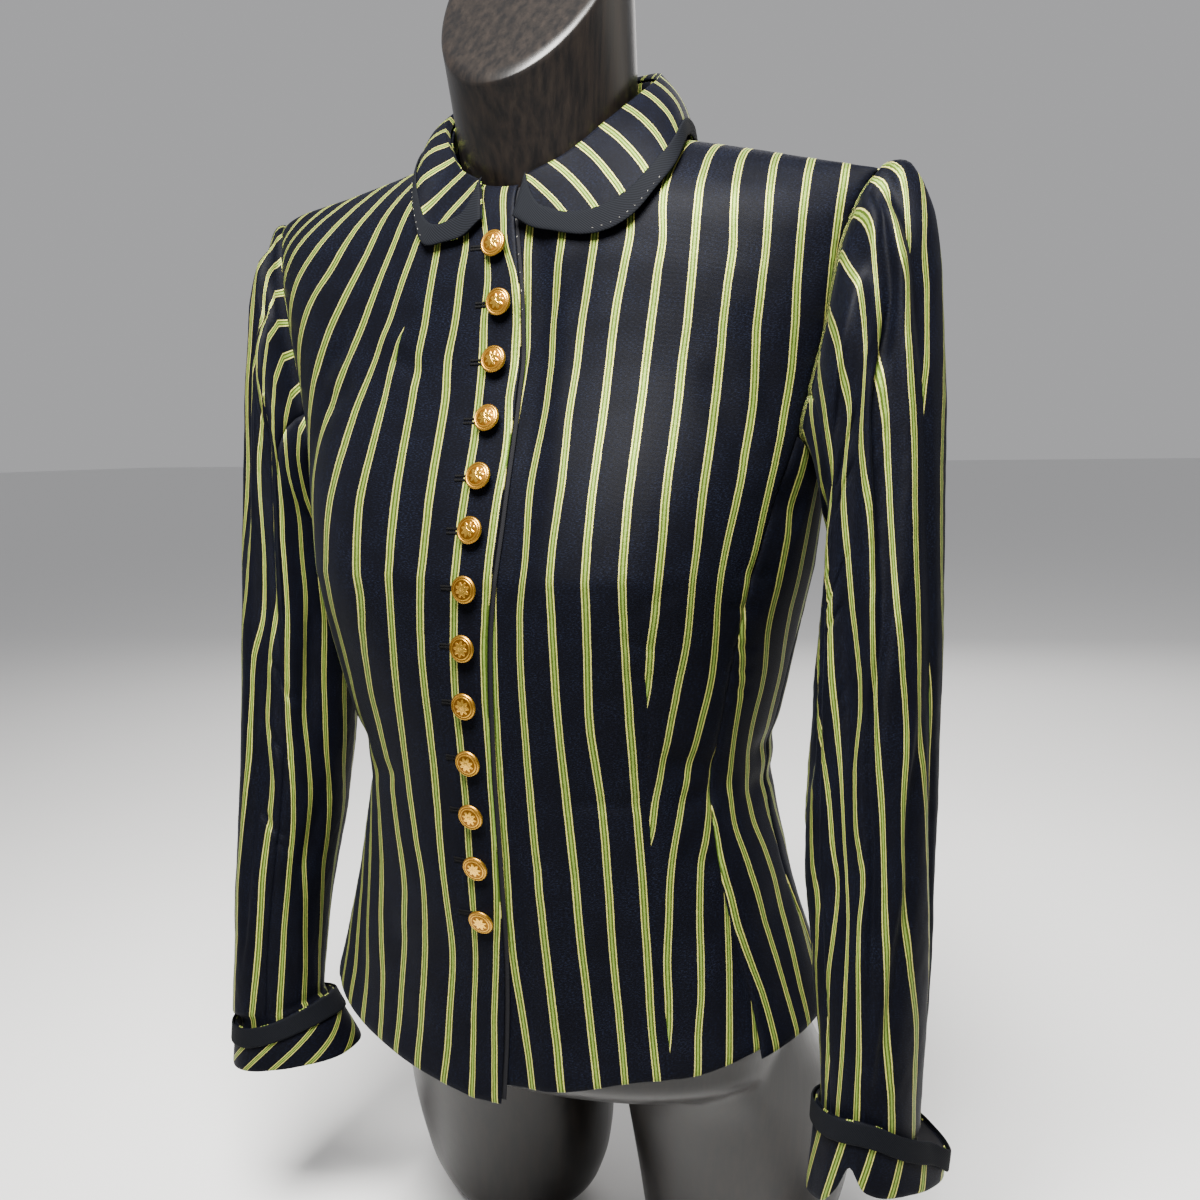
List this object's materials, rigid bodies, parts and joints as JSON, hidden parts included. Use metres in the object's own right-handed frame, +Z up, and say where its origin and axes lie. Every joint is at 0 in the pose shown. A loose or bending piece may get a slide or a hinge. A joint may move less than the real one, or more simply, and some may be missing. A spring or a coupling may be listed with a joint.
{
  "type": "tailored jacket on a dress form",
  "caption": "Fitted striped jacket with a round collar, turned-back cuffs and gilt buttons, on a limbless dark dress form with a slanted neck cap.",
  "frame": {"origin": "on the ground under the middle of the whole part's bounding box", "axes": "+Z up, the wearer faces -Y, the wearer's left is +X"},
  "size_m": [0.5046, 0.2771, 0.9244],
  "materials": {
    "striped_satin": "near-black navy satin with woven yellow-green stripes",
    "black_facing": "matt black facing cloth",
    "twill_ribbon": "black twill ribbon",
    "gilt_metal": "polished gilt",
    "dark_wood": "dark stained wood, satin lacquer"
  },
  "bodies": {
    "root": {"front_right": "striped_satin", "front_left": "striped_satin", "side_right": "striped_satin", "side_left": "striped_satin", "back_right": "striped_satin", "back_left": "striped_satin", "collar_stand": "striped_satin", "collar_fall": "striped_satin", "sleeve_top_right": "striped_satin", "sleeve_top_left": "striped_satin", "sleeve_under_right": "striped_satin", "sleeve_under_left": "striped_satin", "cuff_right": "striped_satin", "cuff_left": "striped_satin", "front_facing": "black_facing", "collar_ribbon": "twill_ribbon", "cuff_ribbon_right": "twill_ribbon", "cuff_ribbon_left": "twill_ribbon", "button_01": "gilt_metal", "button_02": "gilt_metal", "button_03": "gilt_metal", "button_04": "gilt_metal", "button_05": "gilt_metal", "button_06": "gilt_metal", "button_07": "gilt_metal", "button_08": "gilt_metal", "button_09": "gilt_metal", "button_10": "gilt_metal", "button_11": "gilt_metal", "button_12": "gilt_metal", "button_13": "gilt_metal", "dress_form": "dark_wood"}
  },
  "joints": []
}
